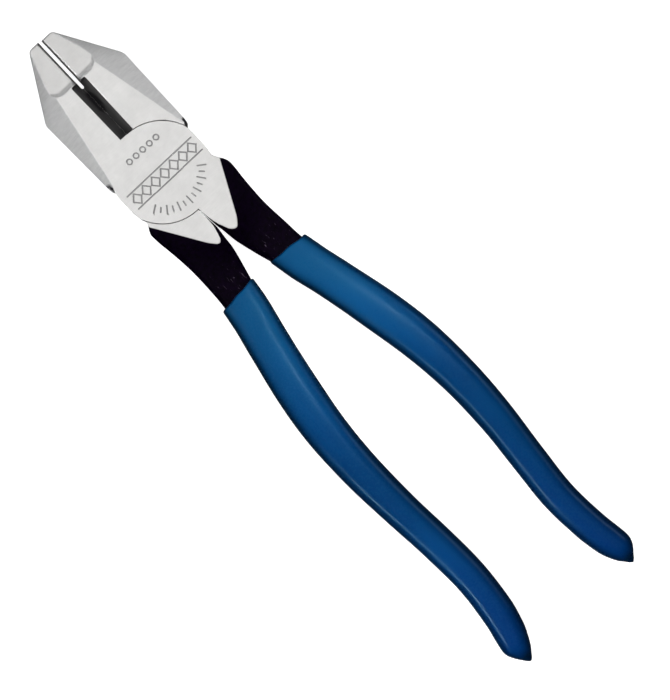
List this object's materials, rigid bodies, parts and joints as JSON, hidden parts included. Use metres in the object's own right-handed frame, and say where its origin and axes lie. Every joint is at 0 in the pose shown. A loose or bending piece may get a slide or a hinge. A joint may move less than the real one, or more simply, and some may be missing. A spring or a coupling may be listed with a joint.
{
  "type": "lineman pliers",
  "caption": "Lineman pliers with flat gripping jaws, a centre side cutter, a round riveted lap joint and curved handles in dipped plastic sleeves.",
  "frame": {"origin": "where the pivot axis meets the flat back face of the joint, which the tool lies on", "axes": "+Z along the pivot from the back face to the front face, +Y towards the nose, +X to the right when looking at the front face with the nose up"},
  "size_m": [0.0534, 0.2361, 0.016],
  "materials": {
    "forged_steel": "ground and polished head, black oxide on the necks below the joint",
    "rivet_steel": "set hot and ground flush with the joint faces",
    "grip_vinyl": "dipped, semi-gloss blue"
  },
  "bodies": {
    "rear": {"rear_half": "forged_steel", "left_grip": "grip_vinyl"},
    "front": {"front_half": "forged_steel", "pivot_rivet": "rivet_steel", "right_grip": "grip_vinyl"}
  },
  "joints": [
    {"name": "pivot", "type": "hinge", "parent": "rear", "child": "front", "pos_m": [0, 0, 0.008], "axis": [0, 0, 1], "range_deg": [0, 38]}
  ]
}
